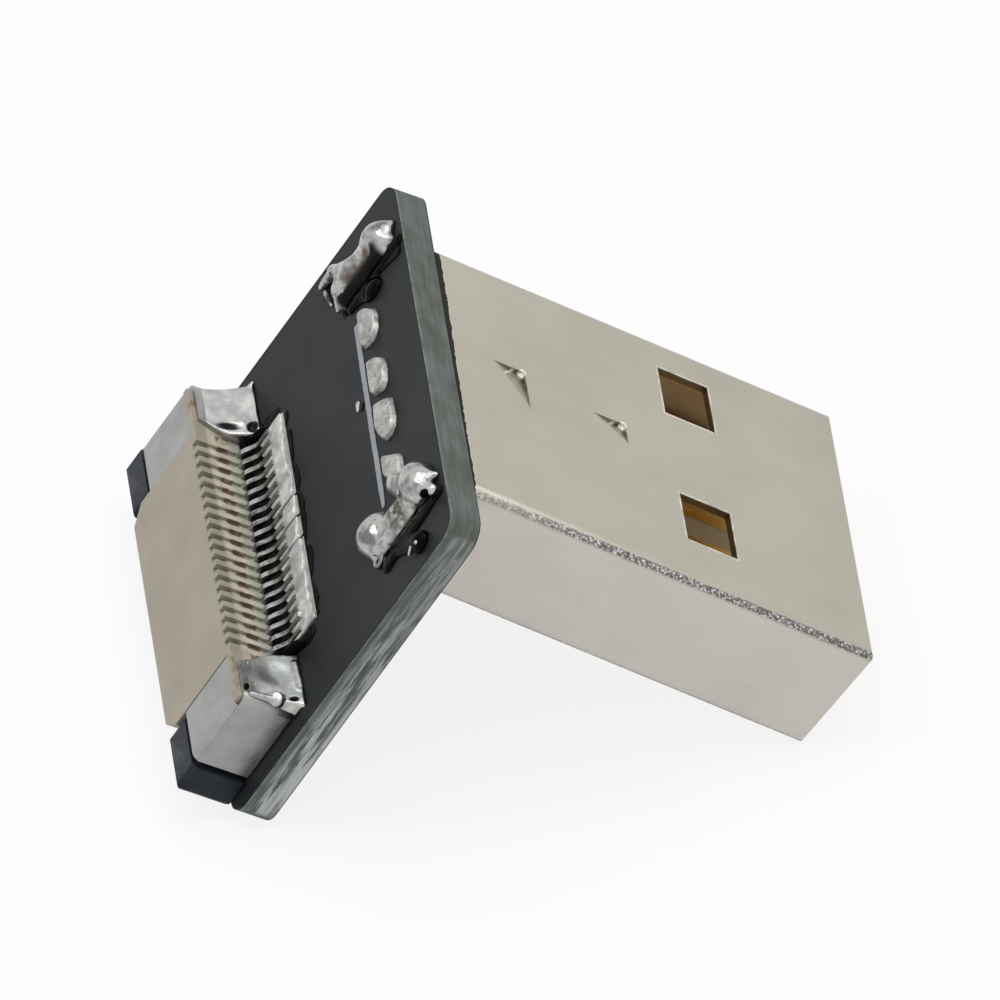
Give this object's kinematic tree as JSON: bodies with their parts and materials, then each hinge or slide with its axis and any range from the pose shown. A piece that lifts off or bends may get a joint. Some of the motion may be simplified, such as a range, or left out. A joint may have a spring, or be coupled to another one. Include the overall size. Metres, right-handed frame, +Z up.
{
  "type": "usb-a plug",
  "caption": "Male plug in a folded metal shell, soldered upright on a small rounded board that carries a sliding-lock ribbon socket and solder joints on its other face.",
  "frame": {"origin": "centre of the bounding box's bottom face, where the part leans on the floor", "axes": "+X from the ribbon socket towards the plug's mouth, +Y across the board, +Z up; the part rests on the board's lower back edge and the plug's lower mouth edge"},
  "size_m": [0.0232, 0.0168, 0.0132],
  "materials": {
    "shell": "satin nickel plate",
    "insulator": "moulded",
    "gold": "thin gold plate",
    "mask": "satin solder mask over glass fibre laminate",
    "solder": "shiny solder",
    "tinned": "tinned copper",
    "print": "printed ink",
    "socket": "moulded",
    "slider": "moulded",
    "blade": "tin plate",
    "holddown": "tin plate"
  },
  "bodies": {
    "adapter": {"plug_shell": "shell", "plug_insulator": "insulator", "plug_contact_1": "gold", "plug_contact_2": "gold", "plug_contact_3": "gold", "plug_contact_4": "gold", "circuit_board": "mask", "pin_solder_1": "solder", "pin_solder_2": "solder", "pin_solder_3": "solder", "pin_solder_4": "solder", "leg_solder_1": "solder", "leg_solder_2": "solder", "signal_pads_1": "tinned", "signal_pads_2": "tinned", "signal_pads_3": "tinned", "signal_pads_4": "tinned", "signal_solder_1": "solder", "signal_solder_2": "solder", "signal_solder_3": "solder", "signal_solder_4": "solder", "print_line": "print", "fpc_housing": "socket", "fpc_contact_01": "blade", "fpc_contact_02": "blade", "fpc_contact_03": "blade", "fpc_contact_04": "blade", "fpc_contact_05": "blade", "fpc_contact_06": "blade", "fpc_contact_07": "blade", "fpc_contact_08": "blade", "fpc_contact_09": "blade", "fpc_contact_10": "blade", "fpc_contact_11": "blade", "fpc_contact_12": "blade", "fpc_contact_13": "blade", "fpc_contact_14": "blade", "fpc_contact_15": "blade", "fpc_contact_16": "blade", "fpc_contact_17": "blade", "fpc_contact_18": "blade", "fpc_contact_19": "blade", "fpc_contact_20": "blade", "hold_down_1": "holddown", "hold_down_2": "holddown", "hold_down_pad_1": "tinned", "hold_down_pad_2": "tinned", "hold_down_solder_1": "solder", "hold_down_solder_2": "solder"},
    "slider": {"fpc_slider": "slider"}
  },
  "joints": [
    {"name": "lock_slide", "type": "slide", "parent": "adapter", "child": "slider", "axis": [-0.4785, 0, -0.8781], "range_m": [0, 0.001]}
  ]
}
